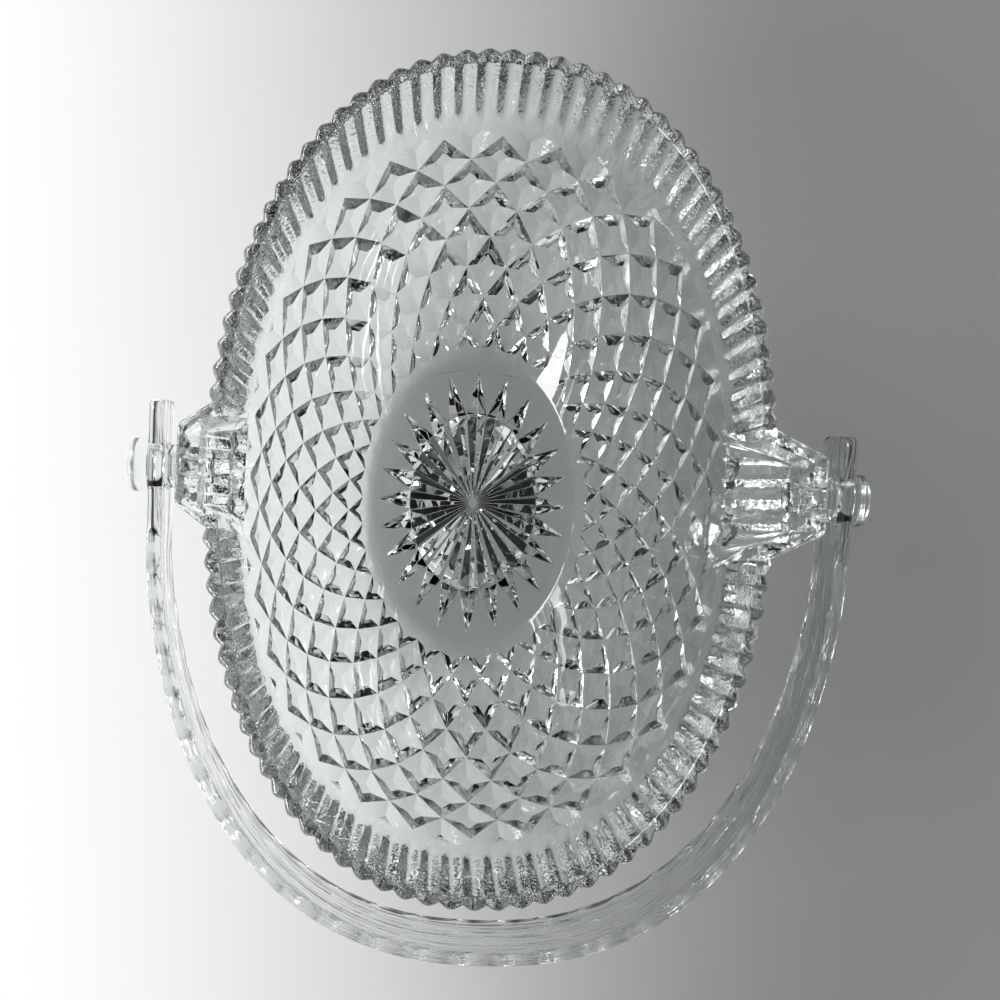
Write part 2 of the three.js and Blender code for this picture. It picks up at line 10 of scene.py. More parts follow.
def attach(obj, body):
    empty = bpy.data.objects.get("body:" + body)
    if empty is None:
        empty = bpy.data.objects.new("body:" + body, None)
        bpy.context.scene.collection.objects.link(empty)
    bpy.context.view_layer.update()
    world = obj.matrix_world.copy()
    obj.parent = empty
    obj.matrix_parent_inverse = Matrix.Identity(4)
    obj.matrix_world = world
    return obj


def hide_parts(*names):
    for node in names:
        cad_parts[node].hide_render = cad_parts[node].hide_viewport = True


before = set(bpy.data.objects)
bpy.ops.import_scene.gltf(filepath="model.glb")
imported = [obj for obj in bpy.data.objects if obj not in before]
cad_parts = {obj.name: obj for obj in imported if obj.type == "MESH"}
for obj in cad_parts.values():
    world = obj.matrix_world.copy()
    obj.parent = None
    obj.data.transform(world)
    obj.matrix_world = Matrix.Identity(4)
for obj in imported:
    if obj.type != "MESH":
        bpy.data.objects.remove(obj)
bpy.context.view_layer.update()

MM = 0.001

# Sizes in millimetres. They follow the solids, except that the foot of the lattice, the star's depth and
# centre and the lugs' undersides are set by look, inside the solids' box.
RIM_HEIGHT = 75.0
LATTICE_TOP = 52.7
BASE_OVAL = (31.0, 41.2, 2.07)
LATTICE_TOP_OVAL = (60.6, 88.3, 2.2)
RIM_OVAL = (66.7, 100.0, 2.19)
FLOOR_OVAL = (28.8, 40.6, 2.07)
FLOOR_HEIGHT = 7.0
WALL_AT_LATTICE_TOP = 3.6
RIM_WIDTH = 4.4
INNER_RIM_DROP = 0.55
COLUMNS = 32
HALF_ROWS = 9
ROW_CROWDING = 1.42
PYRAMID_RELIEF = 0.48
PYRAMID_TOP = 0.32
RIBS = 96
RIB_HEIGHT = 1.3
RIB_LEDGE = 2.6
RIB_POINT = 53.6
RIB_FULL = 57.6
STAR_OVAL = (27.6, 38.4, 2.0)
STAR_RAYS = 24
STAR_DEPTH = 3.3
STAR_WIDEST = 0.66
STAR_CENTRE = 0.04
LUGS = (("left", -1, 72.4), ("right", 1, 78.1))
LUG_ROOT_X = 59.5
LUG_ROOT_LENGTH = 36.0
LUG_FACE_LENGTH = 18.4
LUG_WALL = 5.2
LUG_SIDE_WALL = 3.0
LUG_CORNER = 2.6
LUG_UNDERSIDE = 51.4
LUG_RISE = 8.2
LUG_RIB_PITCH = 5.45
LUG_RIB_HEIGHT = 2.5
POCKET_ROOT_X = 51.5
POCKET_DROP_IN = 56.4
PIVOT_HEIGHT = 66.8
SHANK_RADIUS = 2.4
SHANK_BORE = 2.7
SHOULDER_RADIUS = 5.2
EYE_RADIUS = 5.5
CAP_RADIUS = 3.7
CAP_ROOM = 0.6
HANDLE_SHIFT = 2.85
HANDLE_DROOP = 6.5


def linear(hex_colour):
    """An sRGB hex colour as linear RGBA."""
    channels = [int(hex_colour[i:i + 2], 16) / 255 for i in (1, 3, 5)]
    return [c / 12.92 if c <= 0.04045 else ((c + 0.055) / 1.055) ** 2.4 for c in channels] + [1.0]


def add_node(tree, kind, settings=None, links=None, stops=None, **properties):
    """Adds a node. Settings fill its sockets, links feed them, stops colour a ramp."""
    node = tree.nodes.new(kind)
    if stops:
        elements = node.color_ramp.elements
        for _ in stops[2:]:
            elements.new(0.5)
        for element, (position, colour) in zip(elements, stops):
            element.position, element.color = position, linear(colour)
    for name, value in properties.items():
        setattr(node, name, value)
    for name, value in (settings or {}).items():
        node.inputs[name].default_value = value
    for name, source in (links or {}).items():
        tree.links.new(source, node.inputs[name])
    return node


def new_material(name):
    """An empty material and its node tree."""
    material = bpy.data.materials.new(name)
    material.use_nodes = True
    tree = material.node_tree
    tree.nodes.clear()
    return material, tree


def pressed_soda_lime_glass():
    """Clear pressed glass: a little wavy all over, finely pebbled on the mould's side of the upper wall."""
    material, tree = new_material("pressed_soda_lime_glass")
    place = add_node(tree, "ShaderNodeTexCoord")
    wave = add_node(tree, "ShaderNodeTexNoise", {"Scale": 70.0, "Detail": 1.0},
                    {"Vector": place.outputs["Object"]})
    wavy = add_node(tree, "ShaderNodeBump", {"Strength": 1.0, "Distance": 0.00015},
                    {"Height": wave.outputs["Fac"]})
    surface = add_node(tree, "ShaderNodeNewGeometry")
    lean = add_node(tree, "ShaderNodeSeparateXYZ", None, {"Vector": surface.outputs["True Normal"]})
    facing = add_node(tree, "ShaderNodeMath", {1: -2.0, 2: 1.0}, {0: surface.outputs["Backfacing"]},
                      operation="MULTIPLY_ADD")
    upward = add_node(tree, "ShaderNodeMath", None, {0: lean.outputs["Z"], 1: facing.outputs["Value"]},
                      operation="MULTIPLY")
    moulded = add_node(tree, "ShaderNodeMath", {1: 0.15}, {0: upward.outputs["Value"]},
                       operation="LESS_THAN")
    point = add_node(tree, "ShaderNodeSeparateXYZ", None, {"Vector": place.outputs["Object"]})
    brim = add_node(tree, "ShaderNodeMath", {1: 0.0735}, {0: point.outputs["Z"]},
                    operation="GREATER_THAN")
    rough = add_node(tree, "ShaderNodeMath", None, {0: moulded.outputs["Value"], 1: brim.outputs["Value"]},
                     operation="MAXIMUM")
    high = add_node(tree, "ShaderNodeMapRange", {"From Min": 0.022, "From Max": 0.042},
                    {"Value": point.outputs["Z"]})
    amount = add_node(tree, "ShaderNodeMath", None, {0: rough.outputs["Value"], 1: high.outputs["Result"]},
                      operation="MULTIPLY")
    pebble = add_node(tree, "ShaderNodeTexNoise", {"Scale": 1000.0, "Detail": 1.0},
                      {"Vector": place.outputs["Object"]})
    skin = add_node(tree, "ShaderNodeMath", None, {0: pebble.outputs["Fac"], 1: amount.outputs["Value"]},
                    operation="MULTIPLY")
    pebbled = add_node(tree, "ShaderNodeBump", {"Strength": 1.0, "Distance": 0.00008},
                       {"Height": skin.outputs["Value"], "Normal": wavy.outputs["Normal"]})
    glass = add_node(tree, "ShaderNodeBsdfPrincipled",
                     {"Base Color": linear("#fafefd"), "Roughness": 0.0, "IOR": 1.52,
                      "Transmission Weight": 1.0},
                     {"Normal": pebbled.outputs["Normal"]})
    add_node(tree, "ShaderNodeOutputMaterial", None, {"Surface": glass.outputs["BSDF"]})
    return material


def polished_acrylic(name, hex_colour, streak):
    """Clear polished acrylic with soft glints. A high streak draws fine lines along a strip."""
    material, tree = new_material(name)
    place = add_node(tree, "ShaderNodeTexCoord")
    along = add_node(tree, "ShaderNodeMapping",
                     {"Rotation": (-math.radians(HANDLE_DROOP), 0.0, 0.0), "Scale": (25.0, 25.0, streak)},
                     {"Vector": place.outputs["Object"]})
    lines = add_node(tree, "ShaderNodeTexNoise", {"Scale": 1.0, "Detail": 2.0},
                     {"Vector": along.outputs["Vector"]})
    surface = add_node(tree, "ShaderNodeNewGeometry")
    lean = add_node(tree, "ShaderNodeSeparateXYZ", None, {"Vector": surface.outputs["True Normal"]})
    upright = add_node(tree, "ShaderNodeMath", None, {0: lean.outputs["Z"]}, operation="ABSOLUTE")
    face = add_node(tree, "ShaderNodeMath", {1: -1.0, 2: 1.0}, {0: upright.outputs["Value"]},
                    operation="MULTIPLY_ADD")
    drawn = add_node(tree, "ShaderNodeMath", None, {0: lines.outputs["Fac"], 1: face.outputs["Value"]},
                     operation="MULTIPLY")
    bump = add_node(tree, "ShaderNodeBump", {"Strength": 1.0, "Distance": 0.0004},
                    {"Height": drawn.outputs["Value"]})
    acrylic = add_node(tree, "ShaderNodeBsdfPrincipled",
                       {"Base Color": linear(hex_colour), "Roughness": 0.02, "IOR": 1.49,
                        "Transmission Weight": 1.0},
                       {"Normal": bump.outputs["Normal"]})
    add_node(tree, "ShaderNodeOutputMaterial", None, {"Surface": acrylic.outputs["BSDF"]})
    return material


def painted_falloff_table():
    """Smooth table top, graded between two tones as painted light falloff: painted pale by the window at the
    left, painted grey in shade at the right.
    """
    material, tree = new_material("table_painted_falloff")
    place = add_node(tree, "ShaderNodeTexCoord")
    split = add_node(tree, "ShaderNodeSeparateXYZ", None, {"Vector": place.outputs["Object"]})
    slant = add_node(tree, "ShaderNodeMath", {1: 0.1}, {0: split.outputs["Y"], 2: split.outputs["X"]},
                     operation="MULTIPLY_ADD")
    across = add_node(tree, "ShaderNodeMapRange", {"From Min": -0.15, "From Max": 0.11},
                      {"Value": slant.outputs["Value"]}, interpolation_type="SMOOTHSTEP")
    # Painted light falloff: the colour grades from pale at the left to grey at the right, standing in for the
    # window's light falling off.
    ramp = add_node(tree, "ShaderNodeValToRGB", None, {"Fac": across.outputs["Result"]},
                    stops=[(0.0, "#eeeeec"), (1.0, "#8b8b8b")])
    matt = add_node(tree, "ShaderNodeBsdfDiffuse", None, {"Color": ramp.outputs["Color"]})
    # The glow carries the same painted falloff, seen by the camera and through the glass.
    glow = add_node(tree, "ShaderNodeEmission", {"Strength": 1.0}, {"Color": ramp.outputs["Color"]})
    ray = add_node(tree, "ShaderNodeLightPath")
    through = add_node(tree, "ShaderNodeMath", {1: 0.33}, {0: ray.outputs["Is Transmission Ray"]},
                       operation="MULTIPLY")
    share = add_node(tree, "ShaderNodeMath", {1: 0.55},
                     {0: ray.outputs["Is Camera Ray"], 2: through.outputs["Value"]}, operation="MULTIPLY_ADD")
    both = add_node(tree, "ShaderNodeMixShader", None,
                    {"Fac": share.outputs["Value"], 1: matt.outputs["BSDF"], 2: glow.outputs["Emission"]})
    add_node(tree, "ShaderNodeOutputMaterial", None, {"Surface": both.outputs["Shader"]})
    return material


def make_table():
    """The table top, a hair under the foot so that the two are not in one plane."""
    half, top = 1.5, -0.00005
    mesh = bpy.data.meshes.new("table")
    mesh.from_pydata([(-half, -half, top), (half, -half, top), (half, half, top), (-half, half, top)],
                     [], [(0, 1, 2, 3)])
    table = bpy.data.objects.new("table", mesh)
    bpy.context.collection.objects.link(table)
    mesh.materials.append(painted_falloff_table())


def make_camera():
    """The photograph's camera as fitted: nearly straight down, shifted as the picture was cropped."""
    data = bpy.data.cameras.new("camera")
    data.lens = 44.14
    data.sensor_width = 36.0
    data.shift_x, data.shift_y = 0.0425, 0.0914
    data.clip_start = 0.01
    camera = bpy.data.objects.new("camera", data)
    camera.location = (-22.88 * MM, -27.25 * MM, 355 * MM)
    camera.rotation_euler = [math.radians(a) for a in (0.09, -3.2, 2.63)]
    bpy.context.collection.objects.link(camera)
    bpy.context.scene.camera = camera


def soft_lamp(name, azimuth, elevation, distance, width, height, power):
    """A rectangular lamp aimed at the bowl from a compass angle, measured from +X, and a height angle."""
    a, e = math.radians(azimuth), math.radians(elevation)
    data = bpy.data.lights.new(name, "AREA")
    data.shape = "RECTANGLE"
    data.size = width
    data.size_y = height
    data.energy = power
    lamp = bpy.data.objects.new(name, data)
    lamp.location = (distance * math.cos(e) * math.cos(a), distance * math.cos(e) * math.sin(a),
                     0.03 + distance * math.sin(e))
    lamp.rotation_euler = (math.pi / 2 - e, 0, a + math.pi / 2)
    bpy.context.collection.objects.link(lamp)


def light_room():
    """A dim room with a bright side at the left, and two tall windows there."""
    world = bpy.data.worlds.new("room")
    world.use_nodes = True
    tree = world.node_tree
    tree.nodes.clear()
    place = add_node(tree, "ShaderNodeTexCoord")
    split = add_node(tree, "ShaderNodeSeparateXYZ", None, {"Vector": place.outputs["Generated"]})
    side = add_node(tree, "ShaderNodeMapRange", {"From Min": -1.0, "From Max": 1.0},
                    {"Value": split.outputs["X"]})
    walls = add_node(tree, "ShaderNodeValToRGB", None, {"Fac": side.outputs["Result"]},
                     stops=[(0.0, "#f4f6f7"), (0.3, "#dcdfe0"), (0.44, "#6c6f71"), (0.5, "#262728"),
                            (0.6, "#646668"), (0.8, "#a8abad"), (1.0, "#b4b7b9")])
    height = add_node(tree, "ShaderNodeMapRange", {"From Min": 0.1, "From Max": 0.26},
                      {"Value": split.outputs["Z"]})
    skirt = add_node(tree, "ShaderNodeValToRGB", None, {"Fac": side.outputs["Result"]},
                     stops=[(0.0, "#ffffff"), (0.5, "#e6e9ea"), (1.0, "#d0d3d4")])
    room = add_node(tree, "ShaderNodeMix", None,
                    {"Factor": height.outputs["Result"], "A": skirt.outputs["Color"],
                     "B": walls.outputs["Color"]}, data_type="RGBA")
    sky = add_node(tree, "ShaderNodeBackground", None, {"Color": room.outputs["Result"]})
    add_node(tree, "ShaderNodeOutputWorld", None, {"Surface": sky.outputs["Background"]})
    bpy.context.scene.world = world
    soft_lamp("window_back", 145, 34, 0.9, 0.36, 0.34, 5.2)
    soft_lamp("window_front", 209, 34, 0.9, 0.36, 0.34, 6.3)


def oval_walk(oval):
    """Gives points on an oval by their share of the way round, from +X."""
    half_width, half_length, power = oval
    angle = np.linspace(0, 2 * np.pi, 1441)
    c, s = np.cos(angle), np.sin(angle)
    x = half_width * np.sign(c) * np.abs(c) ** (2 / power)
    y = half_length * np.sign(s) * np.abs(s) ** (2 / power)
    length = np.concatenate([[0], np.cumsum(np.hypot(np.diff(x), np.diff(y)))])
    length /= length[-1]
    return lambda share: (np.interp(share % 1, length, x), np.interp(share % 1, length, y))


def mix_ovals(a, b, share):
    """The oval a share of the way from a to b."""
    return tuple(p + (q - p) * share for p, q in zip(a, b))


def grow_oval(oval, by):
    """The oval, larger by that much all round."""
    return (oval[0] + by, oval[1] + by, oval[2])


def wall_opening(share):
    """How far the wall has opened out, by its share of the height from the base."""
    round_part, straight_part, curve = 0.7, 0.3, 2.4
    return round_part * (1 - (1 - share) ** curve) + straight_part * share


class Skin:
    """Points and faces of one piece, in millimetres."""

    def __init__(self):
        self.points = []
        self.faces = []

    def add(self, x, y, z):
        self.points.append((float(x), float(y), float(z)))
        return len(self.points) - 1

    def ring(self, oval, z, count):
        at = oval_walk(oval)
        return [self.add(*at(i / count), z) for i in range(count)]

    def join(self, lower, upper):
        for i in range(len(lower)):
            j = (i + 1) % len(lower)
            self.faces.append((lower[i], lower[j], upper[j], upper[i]))

    def piece(self, name):
        mesh = bpy.data.meshes.new(name)
        mesh.from_pydata([(x * MM, y * MM, z * MM) for x, y, z in self.points], [], self.faces)
        piece = bpy.data.objects.new(name, mesh)
        bpy.context.collection.objects.link(piece)
        return piece


def press_lattice(skin):
    """The wall of truncated pyramids. Returns the ring along its top and the zig-zag foot."""
    halves = 2 * COLUMNS
    share = [(1 - row / HALF_ROWS) ** ROW_CROWDING for row in range(HALF_ROWS + 1)]
    walks = [oval_walk(mix_ovals(BASE_OVAL, LATTICE_TOP_OVAL, wall_opening(s))) for s in share]
    placed = {}

    def point(row, column):
        return np.array([*walks[row](column / halves), LATTICE_TOP * share[row]])

    def crossing(row, column):
        key = (row, column % halves)
        if key not in placed:
            placed[key] = skin.add(*point(row, column))
        return placed[key]

    def raise_cell(corners, middle, out):
        """The corners of a pyramid's flat top, raised in keeping with the size of its cell."""
        side = corners[1] - corners[0]
        half_width = np.linalg.norm(np.cross(middle - corners[0], side)) / np.linalg.norm(side)
        rise = out / np.linalg.norm(out) * half_width * PYRAMID_RELIEF
        return [skin.add(*(middle + (corner - middle) * PYRAMID_TOP + rise)) for corner in corners]

    top_ring, foot = [], []
    for column in range(halves):
        for row in range(1, HALF_ROWS):
            if (row + column) % 2 == 1:
                around = [(row, column - 1), (row + 1, column), (row, column + 1), (row - 1, column)]
                corners = [point(*place) for place in around]
                low = [crossing(*place) for place in around]
                out = np.cross(corners[2] - corners[0], corners[3] - corners[1])
                high = raise_cell(corners, sum(corners) / 4, out)
                skin.faces.append(tuple(high))
                skin.join(low, high)
        if column % 2 == 1:
            corners = [point(0, column - 1), point(1, column), point(0, column + 1)]
            low = [crossing(0, column - 1), crossing(1, column), crossing(0, column + 1)]
            middle = (corners[0] + corners[2]) / 2
            out = np.cross(corners[2] - corners[0], middle - corners[1])
            high = raise_cell(corners, middle, out)
            skin.faces += [(low[0], low[1], high[1], high[0]), (low[1], low[2], high[2], high[1]),
                           tuple(high)]
            top_ring += [low[0], high[0], high[2]]
            foot.append(crossing(HALF_ROWS, column))
        else:
            skin.faces.append((crossing(HALF_ROWS, column - 1), crossing(HALF_ROWS, column + 1),
                               crossing(HALF_ROWS - 1, column)))
    return top_ring, foot


def press_ribs(skin, top_ring):
    """The band of ribs, pointed at the foot, and the rounded beads they end in along the rim."""
    ledge = grow_oval(LATTICE_TOP_OVAL, RIB_LEDGE)
    across = 8

    def rib_ring(z, inset, softness, depth):
        """A ring round all ribs, drawn in by inset, their crests softened and their height cut to depth."""
        share = (z - LATTICE_TOP) / (RIM_HEIGHT - LATTICE_TOP)
        valley = grow_oval(mix_ovals(ledge, grow_oval(RIM_OVAL, -RIB_HEIGHT), share), -inset)
        walks = []
        for k in range(across):
            away = abs(1 - 2 * k / across)
            rise = 1 - (math.hypot(away, softness) - softness) / (math.hypot(1, softness) - softness)
            walks.append(oval_walk(grow_oval(valley, RIB_HEIGHT * depth * rise)))
        ring = []
        for i in range(RIBS * across):
            ring.append(skin.add(*walks[i % across]((i / across - 0.5) / RIBS), z))
        return ring

    share = (RIB_POINT - LATTICE_TOP) / (RIM_HEIGHT - LATTICE_TOP)
    points = skin.ring(mix_ovals(ledge, grow_oval(RIM_OVAL, -RIB_HEIGHT), share), RIB_POINT, RIBS)
    skin.join(top_ring, points)
    lower = rib_ring(RIB_FULL, 0, 0.05, 1)
    count = len(lower)
    for rib in range(RIBS):
        for k in range(across):
            skin.faces.append((points[rib], lower[(rib * across + k + 1) % count], lower[rib * across + k]))
        skin.faces.append((points[rib], points[(rib + 1) % RIBS], lower[(rib + 1) * across % count]))
    beads = [(66, 0, 0.07, 1), (70.5, 0, 0.12, 1), (72.8, 0.05, 0.3, 1), (73.9, 0.3, 0.45, 1),
             (74.6, 0.75, 0.5, 0.95), (74.95, 1.3, 0.5, 0.8), (75.0, 1.9, 0.5, 0.5), (74.98, 2.4, 0.5, 0.2),
             (74.85, 2.75, 0.5, 0.05)]
    for bead in beads:
        upper = rib_ring(*bead)
        skin.join(lower, upper)
        lower = upper
    return lower


def press_inside(skin, crown):
    """The smooth inside left by the plunger, down to the flat floor and its faint ring."""
    count = 192
    rim_inner = grow_oval(RIM_OVAL, -RIM_WIDTH)
    lattice_inner = grow_oval(LATTICE_TOP_OVAL, -WALL_AT_LATTICE_TOP)
    brim = RIM_HEIGHT - INNER_RIM_DROP
    upper = skin.ring(rim_inner, brim, count)
    shift = len(crown) // (2 * RIBS)
    crown = crown[shift:] + crown[:shift]
    per = len(crown) // count
    for i in range(count):
        j = (i + 1) % count
        outer = [crown[(i * per + k) % len(crown)] for k in range(per + 1)]
        half = per // 2
        skin.faces += [(outer[k], outer[k + 1], upper[i]) for k in range(half)]
        skin.faces.append((outer[half], upper[j], upper[i]))
        skin.faces += [(outer[k], outer[k + 1], upper[j]) for k in range(half, per)]
    levels = [(mix_ovals(lattice_inner, rim_inner, s), LATTICE_TOP + (brim - LATTICE_TOP) * s)
              for s in (0.8, 0.6, 0.4, 0.2)]
    steps = 24
    for step in range(steps + 1):
        share = (1 - step / steps) ** ROW_CROWDING
        levels.append((mix_ovals(FLOOR_OVAL, lattice_inner, wall_opening(share)),
                       FLOOR_HEIGHT + (LATTICE_TOP - FLOOR_HEIGHT) * share))
    groove_half, groove_depth, middle_power = 0.3, 0.02, 2.03
    levels += [(grow_oval(FLOOR_OVAL, -groove_half), FLOOR_HEIGHT - groove_depth),
               (grow_oval(FLOOR_OVAL, -2 * groove_half), FLOOR_HEIGHT)]
    levels += [(tuple(n * s for n in FLOOR_OVAL[:2]) + (middle_power,), FLOOR_HEIGHT)
               for s in (0.7, 0.4, 0.15)]
    for oval, z in levels:
        lower = skin.ring(oval, z, count)
        skin.join(upper, lower)
        upper = lower
    skin.faces.append(tuple(upper))


def press_star(skin):
    """The star of V-cut rays pressed into the base. Returns its outline."""
    tip_at = oval_walk(STAR_OVAL)
    tips = [np.array([*tip_at(ray / STAR_RAYS), 0]) for ray in range(STAR_RAYS)]
    ridges = [np.array([*tip_at((ray + 0.5) / STAR_RAYS), 0]) for ray in range(STAR_RAYS)]
    lift = np.array([0, 0, STAR_DEPTH])
    tip = [skin.add(*p) for p in tips]
    wide = [skin.add(*(p * STAR_WIDEST)) for p in ridges]
    valley = [skin.add(*(p * STAR_WIDEST + lift)) for p in tips]
    start = [skin.add(*(p * STAR_CENTRE + lift * STAR_CENTRE / STAR_WIDEST)) for p in tips]
    gap = [skin.add(*(p * STAR_CENTRE)) for p in ridges]
    centre, outline = [], []
    for ray in range(STAR_RAYS):
        before = ray - 1
        skin.faces += [(start[ray], gap[ray], wide[ray], valley[ray]),
                       (gap[before], start[ray], valley[ray], wide[before]),
                       (valley[ray], wide[ray], tip[ray]), (valley[ray], tip[ray], wide[before])]
        centre += [start[ray], gap[ray]]
        outline += [tip[ray], wide[ray]]
    skin.faces.append(tuple(reversed(centre)))
    return outline


def close_base(skin, outline, foot):
    """The flat between the star and the foot of the lattice, which the basket stands on."""
    loops = [[Vector(skin.points[i]) for i in loop] for loop in (foot, outline)]
    all_points = foot + outline
    for corners in tessellate_polygon(loops):
        skin.faces.append(tuple(all_points[c] for c in corners))


def shape_mesh(piece, work):
    """Runs work on the piece's mesh as a bmesh."""
    bm = bmesh.new()
    bm.from_mesh(piece.data)
    work(bm)
    bm.to_mesh(piece.data)
    bm.free()


def turn_faces_out(piece):
    """Turns the faces of a closed piece outwards."""
    shape_mesh(piece, lambda bm: bmesh.ops.recalc_face_normals(bm, faces=bm.faces))


def settle(piece):
    """Bakes the piece's modifiers into its mesh."""
    mesh = bpy.data.meshes.new_from_object(piece.evaluated_get(bpy.context.evaluated_depsgraph_get()))
    piece.modifiers.clear()
    piece.data = mesh


def carve(piece, tool, how):
    """Adds the tool to the piece or cuts it away, and drops the tool."""
    turn_faces_out(tool)
    step = piece.modifiers.new(how, "BOOLEAN")
    step.object = tool
    step.operation = how
    step.solver = "MANIFOLD"
    settle(piece)
    bpy.data.objects.remove(tool)


def ear_half_width(root_x, face_x, root_half, face_half, corner):
    """Half width of an ear along X, the X places worth a row of points, and the lean of its sides."""
    lean = math.atan2(root_half - face_half, face_x - root_x)
    sweep = math.pi / 2 - lean
    straight = face_x - corner * (1 - math.cos(sweep))
    inset = corner * math.tan(sweep / 2)

    def half(x):
        if x <= straight:
            return root_half + (face_half - root_half) * (x - root_x) / (face_x - root_x)
        return face_half - inset + math.sqrt(max(0.0, corner ** 2 - (x - face_x + corner) ** 2))

    rows = list(np.linspace(root_x, straight, 24))
    rows += [face_x - corner * (1 - math.cos(sweep * (1 - i / 8))) for i in range(1, 9)]
    return half, rows, lean


def ear_block(half, rows, lean, face_x, side, under, over, root_shift):
    """A closed block over the plan of an ear. Under and over give its heights from x, y and the distance in
    from its edge, and root_shift moves the top of its root along X."""
    skin = Skin()
    across, shift_length = 144, 4
    grids = []
    for height, shift in ((under, 0.0), (over, root_shift)):
        grid = []
        for x in rows:
            line = []
            for k in range(across + 1):
                y = half(x) * math.sin(math.pi * (k / across - 0.5))
                edge = min((half(x) - abs(y)) * math.cos(lean), face_x - x)
                moved = x + shift * max(0.0, 1 - (x - rows[0]) / shift_length)
                line.append(skin.add(side * moved, y, height(x, y, edge)))
            grid.append(line)
        grids.append(grid)
    low, high = grids
    last = len(rows) - 1
    for grid in grids:
        for i in range(last):
            for k in range(across):
                skin.faces.append((grid[i][k], grid[i][k + 1], grid[i + 1][k + 1], grid[i + 1][k]))
    border = [(0, k) for k in range(across)] + [(i, across) for i in range(last)]
    border += [(last, k) for k in range(across, 0, -1)] + [(i, 0) for i in range(last, 0, -1)]
    for (i, k), (m, n) in zip(border, border[1:] + border[:1]):
        skin.faces.append((low[i][k], low[m][n], high[m][n], high[i][k]))
    return skin.piece("ear")


def round_over(edge, radius):
    """How far a rounded edge has dropped at a distance in from it."""
    if edge >= radius:
        return 0.0
    return radius - math.sqrt(radius ** 2 - (radius - edge) ** 2)


def make_lug(face, side):
    """A lug with ribs under it, rounded along its edges. Its top is kept a little under the rim's beads."""
    half, rows, lean = ear_half_width(LUG_ROOT_X, face, LUG_ROOT_LENGTH / 2, LUG_FACE_LENGTH / 2, LUG_CORNER)
    edge_fade, root_fade, under_round, top_round, top_drop, root_shift = 1.5, 3, 0.8, 0.9, 0.06, 4.3

    def under(x, y, edge):
        slope = LUG_UNDERSIDE + LUG_RISE * min(1.0, (x - LUG_ROOT_X) / (face - LUG_WALL - LUG_ROOT_X))
        rib = abs(2 * (y / LUG_RIB_PITCH % 1) - 1)
        fade = min(1.0, edge / edge_fade, (x - LUG_ROOT_X) / root_fade)
        return slope - LUG_RIB_HEIGHT * rib * fade + round_over(edge, under_round)

    def over(x, y, edge):
        return RIM_HEIGHT - top_drop - round_over(edge, top_round)

    return ear_block(half, rows, lean, face, side, under, over, root_shift)


def make_pocket(face, side):
    """The pocket in a lug, open to the bowl, with rounded corners at its floor."""
    inner = face - LUG_WALL
    taper = (LUG_ROOT_LENGTH - LUG_FACE_LENGTH) / (face - LUG_ROOT_X)
    walls = 2 * LUG_SIDE_WALL * math.hypot(1, taper / 2)
    root_half = (LUG_ROOT_LENGTH - walls + LUG_SIDE_WALL) / 2
    face_half = (LUG_FACE_LENGTH + taper * LUG_WALL - walls) / 2
    corner, floor_round, above_rim = 1.1, 1.6, 3
    half, rows, lean = ear_half_width(POCKET_ROOT_X, inner, root_half, face_half, corner)
    drop_out = PIVOT_HEIGHT - CAP_RADIUS - CAP_ROOM

    def floor(x, y, edge):
        slope = POCKET_DROP_IN + (drop_out - POCKET_DROP_IN) * (x - POCKET_ROOT_X) / (inner - POCKET_ROOT_X)
        return slope + round_over(edge, floor_round)

    return ear_block(half, rows, lean, inner, side, floor, lambda x, y, edge: RIM_HEIGHT + above_rim, 0.0)


def turned(name, profile, face, side, steps=64):
    """A turned piece on the pivot axis, from radius and distance out from the lug's face."""
    skin = Skin()
    rings = []
    for radius, out in profile:
        if radius == 0:
            rings.append([skin.add(side * (face + out), 0, PIVOT_HEIGHT)])
            continue
        turn = [2 * math.pi * i / steps for i in range(steps)]
        rings.append([skin.add(side * (face + out), radius * math.cos(a), PIVOT_HEIGHT + radius * math.sin(a))
                      for a in turn])
    for a, b in zip(rings, rings[1:]):
        if len(a) == len(b):
            skin.join(a, b)
        else:
            ring, hub = (a, b[0]) if len(b) == 1 else (b, a[0])
            skin.faces += [(ring[i], ring[(i + 1) % steps], hub) for i in range(steps)]
    return skin.piece(name)


def drill(radius, start, end, face, side):
    """A plain cylinder on the pivot axis, for cutting a hole."""
    return turned("drill", [(0, start), (radius, start), (radius, end), (0, end)], face, side)


def rounded_corner(radius, out, turn_radius, start, end, steps=6):
    """Profile points round a corner of a turned piece, its circle set at radius and out."""
    angles = [math.radians(start + (end - start) * i / steps) for i in range(steps + 1)]
    return [(radius + turn_radius * math.cos(a), out + turn_radius * math.sin(a)) for a in angles]


def finish_mesh(piece, sharp_angle):
    """Faces turned outwards, smooth except over sharp edges, with large flats kept flat."""
    turn_faces_out(piece)
    piece.data.set_sharp_from_angle(angle=math.radians(sharp_angle))
    flats = piece.modifiers.new("flats", "WEIGHTED_NORMAL")
    flats.weight = 90
    flats.keep_sharp = True
    settle(piece)


